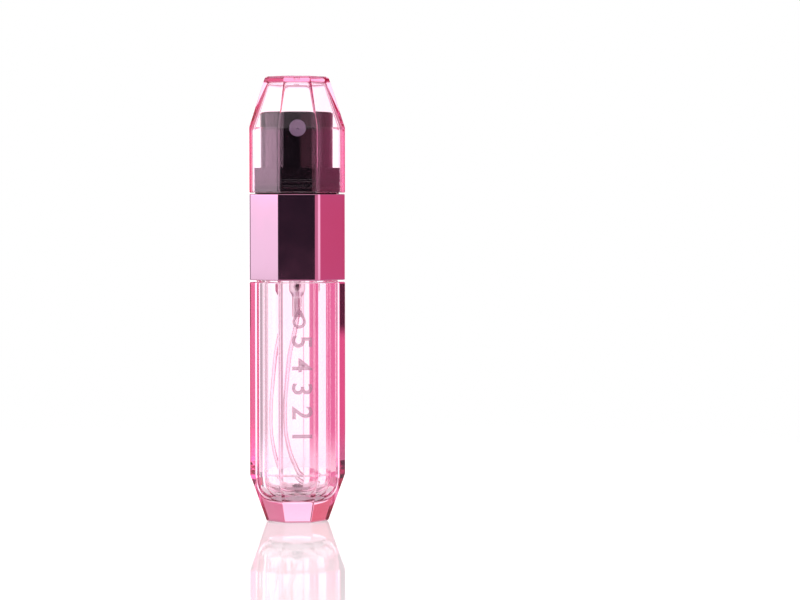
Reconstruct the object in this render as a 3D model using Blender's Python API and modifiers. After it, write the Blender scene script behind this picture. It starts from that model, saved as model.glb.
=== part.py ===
"""Refillable pocket perfume atomiser with an octagonal clear shell.

A clear outer shell stands on the table. A spray unit lifts out of it: an inner vial with
a fill valve in its floor, a small piston pump, a metal band on a plastic core, a collar
and a clear cap. The spray faces -Y, +Z is up, and the origin is the centre of the base.
The dimensions below are millimetres; meshes are made in metres.
"""
import math

import bmesh
import bpy
from mathutils import Matrix, Vector

MM = 0.001
OBJECT_NAME = "perfume_bottle"
CORNER_RATIO = 1 / math.cos(math.pi / 8)   # an octagon's corner radius over its half width

# Outer shell: octagonal outside, round bore, solid base
HALF_WIDTH = 11.0          # half the width across flats, shared by shell, band and cap
BASE_HALF = 7.1            # half width across flats where the base stands
TAPER_TOP = 11.1
SHELL_TOP = 55.5
SPIGOT_HALF = 9.3
SPIGOT_TOP = 60.5
BORE_R = 7.75
BORE_FLOOR = 5.2
BORE_CORNER = 4.3
RECESS_R = 4.9
RECESS_DEPTH = 0.3
DIMPLE_R = 1.5
DIMPLE_DEPTH = 0.8
GROOVE_LOW = 57.6
GROOVE_HIGH = 59.2
GROOVE_HALF = 8.75

# Inner vial and its fill valve
VIAL_R = 7.4
VIAL_WALL = 0.9
VIAL_BOTTOM = 6.8
VIAL_FLOOR = 8.1
VIAL_CORNER = 4.0
SHOULDER_LOW = 60.0
SHOULDER_HIGH = 61.5
NECK_R = 5.0
NECK_BORE_R = 3.1
NECK_TOP = 67.0
VALVE_HOLE_R = 1.45
GROMMET_FLANGE_R = 1.9
GROMMET_HOLE_R = 0.6

# Pump, from the tube socket up to the stem
HOUSING_R = 2.75
CHAMBER_R = 2.05
HOUSING_FLANGE_R = 4.9
HOUSING_TOP = 69.0
CONE_TOP = 53.4
CONE_LOW = 52.0
SOCKET_R = 1.7
SOCKET_END = 47.3
LEDGE_Z = 55.9
BALL_R = 0.8
BALL_Z = 54.12
STEM_R = 1.05
STEM_BORE_R = 0.4
STEM_TOP = 86.0
PISTON_TOP = 65.4
SPRING_R = 1.6
SPRING_WIRE_R = 0.18
SPRING_TURNS = 6.5
TUBE_R = 0.8
TUBE_WALL = 0.3

# Band, core and collar
BAND_LOW = 55.9
BAND_TOP = 75.65
BAND_WALL = 0.55
BAND_CORNER = 2.0          # radius of the band's upright corners
CORE_HALF = 10.3
COLLAR_HALF = 9.65
COLLAR_LOW = 75.7
COLLAR_TOP = 81.7
COLLAR_BORE_R = 8.2
RIB_HEIGHTS = (77.3, 78.7)

# Actuator and spray insert
BUTTON_R = 8.0
BUTTON_LOW = 78.6
BUTTON_TOP = 94.4
NOZZLE_R = 1.9
NOZZLE_Z = 90.7
NOZZLE_FRONT = 7.85        # distance of the insert's face from the axis

# Cap
CAP_LOW = 76.0
CAP_SHOULDER = 90.95
CAP_TOP = 102.7
CAP_TOP_HALF = 7.25
CAP_INNER_HALF = 9.9
CAP_INNER_SHOULDER = 90.5
CAP_CEILING = 101.1
CAP_CEILING_HALF = 6.0


# Scene and materials

def clear_objects():
    """Remove the objects that a new file opens with."""
    for item in list(bpy.data.objects):
        bpy.data.objects.remove(item, do_unlink=True)


def new_collection(name):
    """Return a new collection linked to the scene."""
    collection = bpy.data.collections.new(name)
    bpy.context.scene.collection.children.link(collection)
    return collection


def new_material(name, color, roughness, metallic=0.0, transmission=0.0):
    """Return a Principled material."""
    material = bpy.data.materials.new(name)
    material.use_nodes = True
    shader = material.node_tree.nodes["Principled BSDF"]
    shader.inputs["Base Color"].default_value = (*color, 1.0)
    shader.inputs["Roughness"].default_value = roughness
    shader.inputs["Metallic"].default_value = metallic
    shader.inputs["Transmission Weight"].default_value = transmission
    return material


def add_object(name, mesh, collection, material=None):
    """Link a mesh as a named object."""
    item = bpy.data.objects.new(name, mesh)
    collection.objects.link(item)
    if material is not None:
        mesh.materials.append(material)
    return item


# Shapes

def arc(center_x, center_z, radius, start_deg, end_deg, steps=4):
    """Points (x, z) along a round stretch of a profile, ends included."""
    points = []
    for index in range(steps + 1):
        angle = math.radians(start_deg + (end_deg - start_deg) * index / steps)
        points.append((center_x + radius * math.cos(angle), center_z + radius * math.sin(angle)))
    return points


def turned(name, profile, collection, material=None, steps=36, closed=False):
    """Turn an (x, z) profile about Z; its outer side runs from top to bottom."""
    edges = [(index, index + 1) for index in range(len(profile) - 1)]
    if closed:
        edges.append((len(profile) - 1, 0))
    mesh = bpy.data.meshes.new(name)
    mesh.from_pydata([(x * MM, 0.0, z * MM) for x, z in profile], edges, [])
    item = add_object(name, mesh, collection, material)
    screw = item.modifiers.new("Turn", "SCREW")
    screw.steps = steps
    screw.render_steps = steps
    screw.use_merge_vertices = True
    screw.merge_threshold = 0.00001
    screw.use_smooth_shade = True
    return item


def octagon(name, levels, collection, material=None, corner=0.5, corner_steps=2):
    """Stack octagonal sections (half width, z), lowest first, with rounded upright corners."""
    shape = bmesh.new()
    first_half, first_z = levels[0]
    turn = Matrix.Rotation(math.pi / 8, 4, "Z")
    bmesh.ops.create_circle(shape, cap_ends=True, segments=8,
                            radius=first_half * CORNER_RATIO * MM, matrix=turn)
    bmesh.ops.bevel(shape, geom=shape.verts[:], offset=corner * math.tan(math.pi / 8) * MM,
                    segments=corner_steps, profile=0.5, affect="VERTICES")
    bmesh.ops.translate(shape, verts=shape.verts[:], vec=(0, 0, first_z * MM))
    base = shape.faces[:][0]
    face = base
    for (half, z), (last_half, last_z) in zip(levels[1:], levels):
        region = bmesh.ops.extrude_face_region(shape, geom=[face])["geom"]
        if face is not base:
            bmesh.ops.delete(shape, geom=[face], context="FACES_ONLY")
        verts = [part for part in region if isinstance(part, bmesh.types.BMVert)]
        face = next(part for part in region if isinstance(part, bmesh.types.BMFace))
        bmesh.ops.scale(shape, verts=verts, vec=(half / last_half, half / last_half, 1))
        bmesh.ops.translate(shape, verts=verts, vec=(0, 0, (z - last_z) * MM))
    bmesh.ops.recalc_face_normals(shape, faces=shape.faces[:])
    mesh = bpy.data.meshes.new(name)
    shape.to_mesh(mesh)
    shape.free()
    return add_object(name, mesh, collection, material)


def cut(item, cutter):
    """Subtract a cutter and keep it out of the picture."""
    boolean = item.modifiers.new("Cut " + cutter.name, "BOOLEAN")
    boolean.operation = "DIFFERENCE"
    boolean.object = cutter
    cutter.hide_render = True
    cutter.display_type = "WIRE"


def smooth_route(points, steps):
    """Points along a Catmull-Rom curve through the given points."""
    padded = [points[0] * 2 - points[1], *points, points[-1] * 2 - points[-2]]
    route = []
    for before, start, end, after in zip(padded, padded[1:], padded[2:], padded[3:]):
        for index in range(steps):
            t = index / steps
            bend = (before * 2 - start * 5 + end * 4 - after) * t ** 2
            twist = (start * 3 - before - end * 3 + after) * t ** 3
            route.append((start * 2 + (end - before) * t + bend + twist) / 2)
    route.append(points[-1])
    return route


def wire(name, points, radius, collection, material=None, caps=True):
    """A round wire or tube along millimetre points, as a curve object."""
    curve = bpy.data.curves.new(name, "CURVE")
    curve.dimensions = "3D"
    curve.bevel_depth = radius * MM
    curve.bevel_resolution = 2
    curve.use_fill_caps = caps
    spline = curve.splines.new("POLY")
    spline.points.add(len(points) - 1)
    for spot, point in zip(spline.points, points):
        spot.co = (*(point * MM), 1.0)
    if material is not None:
        curve.materials.append(material)
    item = bpy.data.objects.new(name, curve)
    collection.objects.link(item)
    return item


# Outer shell

def build_outer_shell(parts, cutters, material):
    """Octagonal shell with a solid tapered base, a round bore and a keyed spigot."""
    levels = [(BASE_HALF - 0.85, 0.0), (BASE_HALF - 0.3, 0.22), (BASE_HALF + 0.25, 0.9),
              (HALF_WIDTH, TAPER_TOP), (HALF_WIDTH, SHELL_TOP - 0.4), (HALF_WIDTH - 0.4, SHELL_TOP),
              (SPIGOT_HALF, SHELL_TOP), (SPIGOT_HALF, SPIGOT_TOP - 0.4),
              (SPIGOT_HALF - 0.4, SPIGOT_TOP)]
    shell = octagon("outer_shell", levels, parts, material, corner=0.6)
    bore = [(0, SPIGOT_TOP + 1), (BORE_R, SPIGOT_TOP + 1)]
    bore += arc(BORE_R - BORE_CORNER, BORE_FLOOR + BORE_CORNER, BORE_CORNER, 0, -90)
    bore.append((0, BORE_FLOOR - 0.2))
    cut(shell, turned("shell_bore", bore, cutters))
    recess = [(0, DIMPLE_DEPTH), (DIMPLE_R * 0.75, DIMPLE_DEPTH), (DIMPLE_R, RECESS_DEPTH),
              (RECESS_R - 0.25, RECESS_DEPTH), (RECESS_R, 0), (RECESS_R, -1), (0, -1)]
    cut(shell, turned("shell_recess", recess, cutters, steps=48))
    groove = octagon_ring("shell_groove", SPIGOT_HALF + 1, GROOVE_HALF, GROOVE_LOW, GROOVE_HIGH, cutters,
                          cutters)
    cut(shell, groove)


def octagon_ring(name, outer_half, inner_half, low, high, collection, cutters, material=None,
                 corner=0.5, inner_corner=0.5):
    """A plain octagonal ring: one prism with a second prism cut out of it."""
    ring = octagon(name, [(outer_half, low), (outer_half, high)], collection, material, corner)
    hole = octagon(name + "_hole", [(inner_half, low - 1), (inner_half, high + 1)], cutters,
                   corner=inner_corner)
    cut(ring, hole)
    return ring


def build_grip_ring(parts, cutters, material):
    """Elastomer ring that grips the spray unit's core."""
    octagon_ring("grip_ring", SPIGOT_HALF + 0.1, GROOVE_HALF + 0.15, GROOVE_LOW + 0.2,
                 GROOVE_HIGH - 0.2, parts, cutters, material)


# Vial and fill valve

def build_vial(parts, material):
    """Round-bottomed vial with a shoulder, a beaded neck and a hole in its floor."""
    inner_r = VIAL_R - VIAL_WALL
    inner_corner = VIAL_CORNER - 0.7
    profile = [(NECK_BORE_R, NECK_TOP), (NECK_R, NECK_TOP), (NECK_R, NECK_TOP - 1.8),
               (NECK_R + 0.4, NECK_TOP - 2.0), (NECK_R + 0.4, NECK_TOP - 2.6),
               (NECK_R, NECK_TOP - 2.8), (NECK_R, SHOULDER_HIGH), (VIAL_R, SHOULDER_LOW)]
    profile += arc(VIAL_R - VIAL_CORNER, VIAL_BOTTOM + VIAL_CORNER, VIAL_CORNER, 0, -90)
    profile += [(VALVE_HOLE_R, VIAL_BOTTOM), (VALVE_HOLE_R, VIAL_FLOOR)]
    profile += arc(inner_r - inner_corner, VIAL_FLOOR + inner_corner, inner_corner, -90, 0)
    profile += [(inner_r, SHOULDER_LOW - 0.8), (NECK_BORE_R, SHOULDER_HIGH - 0.8)]
    turned("inner_vial", profile, parts, material, closed=True)


def build_fill_valve(parts, seal_material, pin_material):
    """Silicone grommet in the vial's floor and the pin that closes it from inside."""
    waist_r = VALVE_HOLE_R - 0.15
    low = VIAL_BOTTOM - 0.6
    high = VIAL_FLOOR + 0.6
    seal = [(GROMMET_HOLE_R, high), (GROMMET_FLANGE_R - 0.2, high), (GROMMET_FLANGE_R, high - 0.2),
            (GROMMET_FLANGE_R, VIAL_FLOOR + 0.15), (waist_r, VIAL_FLOOR + 0.15),
            (waist_r, VIAL_BOTTOM - 0.15), (GROMMET_FLANGE_R, VIAL_BOTTOM - 0.15),
            (GROMMET_FLANGE_R, low), (GROMMET_HOLE_R, low)]
    turned("fill_seal", seal, parts, seal_material, steps=16, closed=True)
    seat = high + 0.1
    stem_r = GROMMET_HOLE_R - 0.15
    pin = [(0, seat + 0.6), (0.8, seat + 0.6), (1.1, seat + 0.3), (1.1, seat), (stem_r, seat),
           (stem_r, low - 0.3), (stem_r - 0.15, low - 0.45), (0, low - 0.45)]
    turned("fill_poppet", pin, parts, pin_material, steps=16)


# Pump

def build_pump_housing(parts, material):
    """Pump cylinder: flange, chamber, ball pocket, cone and tube socket."""
    profile = [(CHAMBER_R, HOUSING_TOP), (HOUSING_FLANGE_R, HOUSING_TOP),
               (HOUSING_FLANGE_R, HOUSING_TOP - 1.0), (HOUSING_R, HOUSING_TOP - 1.0),
               (HOUSING_R, CONE_TOP), (SOCKET_R, CONE_LOW), (SOCKET_R, SOCKET_END),
               (TUBE_R + 0.15, SOCKET_END), (TUBE_R + 0.15, CONE_LOW - 0.4),
               (0.5, CONE_LOW - 0.4), (0.5, CONE_TOP), (1.1, CONE_TOP + 0.8),
               (1.1, LEDGE_Z), (CHAMBER_R, LEDGE_Z)]
    turned("pump_housing", profile, parts, material, steps=24, closed=True)


def build_inlet_ball(parts, material):
    """Ball of the inlet valve, just above its conical seat."""
    shape = bmesh.new()
    bmesh.ops.create_uvsphere(shape, u_segments=16, v_segments=8, radius=BALL_R * MM)
    mesh = bpy.data.meshes.new("inlet_ball")
    shape.to_mesh(mesh)
    shape.free()
    mesh.shade_smooth()
    ball = add_object("inlet_ball", mesh, parts, material)
    ball.location = (0, 0, BALL_Z * MM)


def build_pump_spring(parts, material):
    """Return spring between the chamber's ledge and the piston."""
    low = LEDGE_Z + SPRING_WIRE_R + 0.1
    high = PISTON_TOP - 2.6 - SPRING_WIRE_R - 0.1
    steps = int(SPRING_TURNS * 10)
    points = []
    for index in range(steps + 1):
        angle = 2 * math.pi * SPRING_TURNS * index / steps
        height = low + (high - low) * index / steps
        points.append(Vector((SPRING_R * math.cos(angle), SPRING_R * math.sin(angle), height)))
    wire("pump_spring", points, SPRING_WIRE_R, parts, material)


def build_piston(parts, material):
    """Two-lipped piston with a spigot that centres the spring."""
    lip_r = CHAMBER_R - 0.08
    waist_r = lip_r - 0.2
    low = PISTON_TOP - 2.6
    profile = [(STEM_BORE_R, PISTON_TOP), (lip_r, PISTON_TOP), (lip_r, PISTON_TOP - 0.5),
               (waist_r, PISTON_TOP - 0.8), (waist_r, low + 0.8), (lip_r, low + 0.5),
               (lip_r, low), (1.1, low), (1.1, low - 1.4), (STEM_BORE_R, low - 1.4)]
    turned("pump_piston", profile, parts, material, steps=20, closed=True)


def build_stem(parts, material):
    """Hollow stem from the piston up into the actuator."""
    profile = [(STEM_BORE_R, STEM_TOP), (STEM_R - 0.15, STEM_TOP), (STEM_R, STEM_TOP - 0.3),
               (STEM_R, PISTON_TOP + 0.15), (STEM_BORE_R, PISTON_TOP + 0.15)]
    turned("pump_stem", profile, parts, material, steps=20, closed=True)


def build_stem_seal(parts, material):
    """Seal ring round the stem, under the turret's plug."""
    high = HOUSING_TOP - 2.0
    outer_r = CHAMBER_R - 0.1
    profile = [(STEM_R + 0.08, high), (outer_r, high), (outer_r, high - 0.8), (STEM_R + 0.08, high - 0.8)]
    turned("stem_seal", profile, parts, material, steps=20, closed=True)


def build_turret(parts, material):
    """Disc that closes the pump, with a plug below and a guide tube above."""
    disc_low = HOUSING_TOP + 0.2
    hole_r = STEM_R + 0.15
    profile = [(hole_r, disc_low + 3.0), (2.0, disc_low + 3.0), (2.2, disc_low + 2.8),
               (2.2, disc_low + 1.0), (HOUSING_FLANGE_R, disc_low + 1.0), (HOUSING_FLANGE_R, disc_low),
               (CHAMBER_R - 0.15, disc_low), (CHAMBER_R - 0.15, disc_low - 2.0), (hole_r, disc_low - 2.0)]
    turned("pump_turret", profile, parts, material, steps=24, closed=True)


def build_neck_gasket(parts, material):
    """Flat gasket between the neck and the pump's flange."""
    low = NECK_TOP + 0.2
    profile = [(NECK_BORE_R, low + 0.6), (HOUSING_FLANGE_R, low + 0.6), (HOUSING_FLANGE_R, low),
               (NECK_BORE_R, low)]
    turned("neck_gasket", profile, parts, material, steps=24, closed=True)


def build_neck_ferrule(parts, material):
    """Ferrule over the neck, turret and flange, crimped under the neck's bead."""
    outer_r = 6.3
    low = SHOULDER_HIGH + 0.7
    top = HOUSING_TOP + 2.3
    profile = [(2.5, top), (outer_r - 0.5, top), (outer_r, top - 0.5), (outer_r, low + 1.6),
               (outer_r - 0.5, low + 1.0), (outer_r - 0.5, low), (NECK_R + 0.15, low),
               (NECK_R + 0.15, low + 1.4), (NECK_R + 0.6, low + 1.9), (NECK_R + 0.6, top - 0.8),
               (2.5, top - 0.8)]
    turned("neck_ferrule", profile, parts, material, steps=28, closed=True)


def build_dip_tube(parts, material):
    """Thin tube that leaves the socket, bows to one side and turns in over the floor."""
    route = [Vector((0.0, 0.0, 51.4)), Vector((0.0, 0.0, 49.4)), Vector((0.0, 0.0, 47.2)),
             Vector((-0.9, 0.0, 43.9)), Vector((-2.5, 0.1, 39.2)), Vector((-3.2, 0.2, 35.9)),
             Vector((-4.0, 0.3, 31.1)), Vector((-4.6, 0.6, 27.0)), Vector((-4.6, 1.2, 21.3)),
             Vector((-3.9, 1.9, 18.0)), Vector((-2.4, 2.6, 14.5)), Vector((-0.9, 3.1, 12.4)),
             Vector((0.5, 3.3, 10.6)), Vector((2.4, 3.0, 9.5))]
    guide = wire("dip_tube_guide", smooth_route(route, 2), TUBE_R, parts, caps=False)
    bpy.context.view_layer.update()
    evaluated = guide.evaluated_get(bpy.context.evaluated_depsgraph_get())
    mesh = bpy.data.meshes.new_from_object(evaluated)
    mesh.name = "dip_tube"
    bpy.data.objects.remove(guide, do_unlink=True)
    tube = add_object("dip_tube", mesh, parts, material)
    wall = tube.modifiers.new("Wall", "SOLIDIFY")
    wall.thickness = TUBE_WALL * MM
    wall.offset = -1.0


# Band, core and collar

def build_band_core(parts, cutters, material):
    """Plastic core: a socket for the shell's spigot, a web round the ferrule, a collar pocket."""
    core = octagon("band_carrier", [(CORE_HALF, BAND_LOW + 0.3), (CORE_HALF, BAND_TOP - 0.25)], parts,
                   material, corner=BAND_CORNER - BAND_WALL)
    socket_half = SPIGOT_HALF + 0.2
    web_low = NECK_TOP - 1.0
    web_high = web_low + 2.5
    pocket_half = COLLAR_HALF - 0.45
    cut(core, octagon("core_socket", [(socket_half, BAND_LOW - 1), (socket_half, SPIGOT_TOP + 0.7)],
                      cutters))
    space = [(0, web_low), (socket_half - 0.3, web_low), (socket_half - 0.3, SPIGOT_TOP), (0, SPIGOT_TOP)]
    cut(core, turned("core_space", space, cutters, steps=24))
    hole = [(0, web_high + 1), (6.5, web_high + 1), (6.5, web_low - 1), (0, web_low - 1)]
    cut(core, turned("core_hole", hole, cutters, steps=24))
    cut(core, octagon("core_pocket", [(pocket_half, web_high), (pocket_half, BAND_TOP + 1)], cutters,
                      corner=1.4))


def build_band(parts, cutters, material):
    """Thin metal sleeve with rounded upright corners and softened rims."""
    rim = 0.25
    levels = [(HALF_WIDTH - rim, BAND_LOW), (HALF_WIDTH, BAND_LOW + rim), (HALF_WIDTH, BAND_TOP - rim),
              (HALF_WIDTH - rim, BAND_TOP)]
    band = octagon("band", levels, parts, material, corner=BAND_CORNER, corner_steps=4)
    inner = HALF_WIDTH - BAND_WALL
    hole = [(inner, BAND_LOW - 1), (inner, BAND_TOP + 1)]
    cut(band, octagon("band_hole", hole, cutters, corner=BAND_CORNER - BAND_WALL, corner_steps=3))


def build_collar(parts, cutters, material):
    """Collar with two snap ribs, a bore for the actuator and a plug for the core's pocket."""
    plug_half = COLLAR_HALF - 0.65
    levels = [(plug_half, COLLAR_LOW - 3.9), (plug_half, COLLAR_LOW), (COLLAR_HALF, COLLAR_LOW)]
    for height in RIB_HEIGHTS:
        levels += [(COLLAR_HALF, height - 0.3), (COLLAR_HALF + 0.1, height - 0.15),
                   (COLLAR_HALF + 0.1, height + 0.15), (COLLAR_HALF, height + 0.3)]
    levels += [(COLLAR_HALF, COLLAR_TOP - 0.4), (COLLAR_HALF - 0.12, COLLAR_TOP - 0.12),
               (COLLAR_HALF - 0.4, COLLAR_TOP)]
    collar = octagon("spray_collar", levels, parts, material, corner=2.0, corner_steps=3)
    bore_low = COLLAR_LOW - 1.7
    bore = [(0, COLLAR_TOP + 1), (COLLAR_BORE_R, COLLAR_TOP + 1), (COLLAR_BORE_R, bore_low),
            (3.0, bore_low), (3.0, COLLAR_LOW - 5), (0, COLLAR_LOW - 5)]
    cut(collar, turned("collar_bore", bore, cutters, steps=40))


# Actuator

def build_button(parts, cutters, material):
    """Round finger button, hollow below, with a socket for the stem and a spray channel."""
    edge = 0.7
    skirt_r = BUTTON_R - 0.9
    ceiling = BUTTON_TOP - 6.8
    socket_r = STEM_R + 0.12
    profile = [(0, BUTTON_TOP - 0.45), (4.0, BUTTON_TOP - 0.35), (BUTTON_R - 1.6, BUTTON_TOP)]
    profile += arc(BUTTON_R - edge, BUTTON_TOP - edge, edge, 90, 0, steps=4)
    profile += [(BUTTON_R, BUTTON_LOW), (skirt_r, BUTTON_LOW), (skirt_r, ceiling), (2.6, ceiling),
                (2.6, BUTTON_LOW + 1.2), (socket_r, BUTTON_LOW + 1.2), (socket_r, STEM_TOP + 0.2),
                (0, STEM_TOP + 0.2)]
    button = turned("actuator_button", profile, parts, material, steps=40)
    riser = [(0, NOZZLE_Z + 0.5), (0.6, NOZZLE_Z + 0.5), (0.6, STEM_TOP - 0.5), (0, STEM_TOP - 0.5)]
    cut(button, turned("button_riser", riser, cutters, steps=16))
    recess_floor = NOZZLE_FRONT - 1.6
    channel = [(0, BUTTON_R + 1), (NOZZLE_R + 0.15, BUTTON_R + 1), (NOZZLE_R + 0.15, recess_floor),
               (0.6, recess_floor), (0.6, 0), (0, 0)]
    cutter = turned("button_channel", channel, cutters, steps=24)
    cutter.location = (0, 0, NOZZLE_Z * MM)
    cutter.rotation_euler = (math.pi / 2, 0, 0)
    cut(button, cutter)


def build_nozzle(parts, material):
    """Round spray insert with a raised rim and its orifice, facing -Y."""
    back = NOZZLE_FRONT - 1.45
    profile = [(0.22, NOZZLE_FRONT - 0.3), (0.75, NOZZLE_FRONT - 0.15), (1.0, NOZZLE_FRONT),
               (NOZZLE_R - 0.15, NOZZLE_FRONT), (NOZZLE_R, NOZZLE_FRONT - 0.15), (NOZZLE_R, back),
               (0.22, back)]
    nozzle = turned("nozzle_insert", profile, parts, material, steps=24, closed=True)
    nozzle.location = (0, 0, NOZZLE_Z * MM)
    nozzle.rotation_euler = (math.pi / 2, 0, 0)


# Cap

def build_cap(parts, cutters, material):
    """Octagonal cap with a tapered top, hollow with rounded inner corners."""
    levels = [(HALF_WIDTH - 0.25, CAP_LOW), (HALF_WIDTH, CAP_LOW + 0.25), (HALF_WIDTH, CAP_SHOULDER),
              (CAP_TOP_HALF + 0.27, CAP_TOP - 0.9), (CAP_TOP_HALF - 0.1, CAP_TOP - 0.25),
              (CAP_TOP_HALF - 0.75, CAP_TOP)]
    cap = octagon("cap", levels, parts, material, corner=0.6)
    hollow = [(CAP_INNER_HALF, CAP_LOW - 1), (CAP_INNER_HALF, CAP_INNER_SHOULDER),
              (CAP_CEILING_HALF, CAP_CEILING)]
    cut(cap, octagon("cap_hollow", hollow, cutters, corner=2.3, corner_steps=4))


def main():
    clear_objects()
    parts = new_collection(OBJECT_NAME)
    cutters = new_collection("cutters")
    clear_pink = new_material("clear_pink_plastic", (0.95, 0.42, 0.68), 0.03, transmission=1.0)
    vial_pink = new_material("vial_pink_plastic", (0.96, 0.55, 0.76), 0.04, transmission=1.0)
    cap_pink = new_material("cap_pink_plastic", (0.96, 0.50, 0.72), 0.03, transmission=1.0)
    band_metal = new_material("pink_band_metal", (0.86, 0.45, 0.64), 0.10, metallic=1.0)
    button_black = new_material("button_black_plastic", (0.012, 0.011, 0.013), 0.12)
    collar_black = new_material("collar_black_plastic", (0.015, 0.013, 0.016), 0.22)
    nozzle_violet = new_material("nozzle_violet_plastic", (0.30, 0.25, 0.34), 0.30)
    pump_plastic = new_material("pump_clear_plastic", (0.93, 0.88, 0.91), 0.15, transmission=0.6)
    tube_plastic = new_material("tube_clear_plastic", (0.95, 0.90, 0.93), 0.20, transmission=0.7)
    inner_plastic = new_material("pump_white_plastic", (0.85, 0.85, 0.86), 0.35)
    core_plastic = new_material("core_black_plastic", (0.02, 0.02, 0.02), 0.40)
    seal_rubber = new_material("seal_silicone", (0.75, 0.70, 0.72), 0.55)
    ring_rubber = new_material("ring_black_rubber", (0.03, 0.03, 0.03), 0.70)
    spring_steel = new_material("spring_steel", (0.62, 0.62, 0.60), 0.25, metallic=1.0)
    ferrule_metal = new_material("ferrule_aluminium", (0.80, 0.80, 0.82), 0.25, metallic=1.0)

    build_outer_shell(parts, cutters, clear_pink)
    build_grip_ring(parts, cutters, ring_rubber)
    build_vial(parts, vial_pink)
    build_fill_valve(parts, seal_rubber, pump_plastic)
    build_pump_housing(parts, pump_plastic)
    build_inlet_ball(parts, spring_steel)
    build_pump_spring(parts, spring_steel)
    build_piston(parts, inner_plastic)
    build_stem(parts, inner_plastic)
    build_stem_seal(parts, seal_rubber)
    build_turret(parts, inner_plastic)
    build_neck_gasket(parts, seal_rubber)
    build_neck_ferrule(parts, ferrule_metal)
    build_dip_tube(parts, tube_plastic)
    build_band_core(parts, cutters, core_plastic)
    build_band(parts, cutters, band_metal)
    build_collar(parts, cutters, collar_black)
    build_button(parts, cutters, button_black)
    build_nozzle(parts, nozzle_violet)
    build_cap(parts, cutters, cap_pink)


main()
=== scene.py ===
"""Looks of a refillable perfume atomiser: clear pink shell, vial and cap, mirror-like band.

Pieces that are seen are made again as fine meshes round the CAD frame, and each rides on
its body. Shapes below are in millimetres; heights come from the frame's boxes.
"""
import math

import bmesh
import bpy
from mathutils import Matrix, Vector


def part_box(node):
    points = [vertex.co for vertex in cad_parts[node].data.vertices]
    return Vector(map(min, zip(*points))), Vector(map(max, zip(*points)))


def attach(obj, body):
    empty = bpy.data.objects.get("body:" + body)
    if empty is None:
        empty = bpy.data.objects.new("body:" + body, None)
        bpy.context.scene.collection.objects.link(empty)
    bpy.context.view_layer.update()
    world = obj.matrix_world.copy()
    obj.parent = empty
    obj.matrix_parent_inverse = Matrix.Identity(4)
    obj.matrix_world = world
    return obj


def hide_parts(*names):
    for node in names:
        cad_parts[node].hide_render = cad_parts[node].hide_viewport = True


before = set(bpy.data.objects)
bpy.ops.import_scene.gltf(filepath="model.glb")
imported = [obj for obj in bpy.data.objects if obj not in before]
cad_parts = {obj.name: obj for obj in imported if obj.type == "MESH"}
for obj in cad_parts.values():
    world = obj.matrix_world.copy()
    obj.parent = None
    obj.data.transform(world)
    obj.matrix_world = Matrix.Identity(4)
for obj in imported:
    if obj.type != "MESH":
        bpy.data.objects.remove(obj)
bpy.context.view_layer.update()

MM = 0.001
SIDE_ARC_STEPS = 8         # points round one corner of an octagon
SIDE_FLAT_STEPS = 12       # points along one side of an octagon
RING_POINTS = 8 * (SIDE_ARC_STEPS + SIDE_FLAT_STEPS)
SUPPORT = 0.12             # width of the strips that keep flat faces flat in the shading

# Camera: its place round the bottle, and where it aims
CAMERA_DISTANCE = 0.580
CAMERA_AZIMUTH = math.radians(-1.7)
CAMERA_HEIGHT = 0.0766
CAMERA_PAN = math.radians(2.366)
CAMERA_PITCH = math.radians(-2.52)
CAMERA_LENS = 112.5


# Frame sizes

def span(node):
    """Lowest and highest z of a CAD node in millimetres."""
    low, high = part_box(node)
    return low.z / MM, high.z / MM


def half_width(node):
    """Half the CAD node's width along X in millimetres."""
    low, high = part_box(node)
    return (high.x - low.x) / 2 / MM


# Mesh tools

def soften(points, radii, steps=5):
    """Round the corners of an (x, z) polyline and add a point just past each round."""
    result = [points[0]]
    for before, corner, after, radius in zip(points, points[1:], points[2:], radii):
        corner_v = Vector(corner)
        to_before = Vector(before) - corner_v
        to_after = Vector(after) - corner_v
        bend = to_before.angle(to_after)
        if radius <= 0 or bend > math.pi - 0.01:
            result.append(corner)
            continue
        reach = radius / math.tan(bend / 2)
        reach = min(reach, 0.4 * to_before.length, 0.4 * to_after.length)
        start = corner_v + to_before.normalized() * reach
        end = corner_v + to_after.normalized() * reach
        margin = min(SUPPORT, 0.3 * (to_before.length - reach), 0.3 * (to_after.length - reach))
        result.append(tuple(start + to_before.normalized() * margin))
        for step in range(steps + 1):
            t = step / steps
            result.append(tuple(start * (1 - t) ** 2 + corner_v * 2 * t * (1 - t) + end * t ** 2))
        result.append(tuple(end + to_after.normalized() * margin))
    result.append(points[-1])
    return result


def arc(center_x, center_z, radius, start_deg, end_deg, steps=16):
    """Points (x, z) along a round stretch of a profile, ends included."""
    angles = [math.radians(start_deg + (end_deg - start_deg) * i / steps) for i in range(steps + 1)]
    return [(center_x + radius * math.cos(a), center_z + radius * math.sin(a)) for a in angles]


def octagon_section(half, corner, z):
    """Ring of points round an octagon with rounded corners."""
    ring = []
    corner = min(corner, 0.9 * half)
    center = (half - corner) / math.cos(math.pi / 8)
    for side in range(8):
        direction = math.pi / 8 + side * math.pi / 4
        middle = Vector((center * math.cos(direction), center * math.sin(direction)))
        next_direction = direction + math.pi / 4
        next_middle = Vector((center * math.cos(next_direction), center * math.sin(next_direction)))
        for step in range(SIDE_ARC_STEPS + 1):
            angle = side * math.pi / 4 + step / SIDE_ARC_STEPS * math.pi / 4
            ring.append((*(middle + Vector((math.cos(angle), math.sin(angle))) * corner), z))
        angle = (side + 1) * math.pi / 4
        start = middle + Vector((math.cos(angle), math.sin(angle))) * corner
        end = next_middle + Vector((math.cos(angle), math.sin(angle))) * corner
        edge = min(SUPPORT / max((end - start).length, 0.001), 0.2)
        inner_count = SIDE_FLAT_STEPS - 1
        for step in range(inner_count):
            t = edge + (1 - 2 * edge) * step / (inner_count - 1)
            ring.append((*start.lerp(end, t), z))
    return ring


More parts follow.
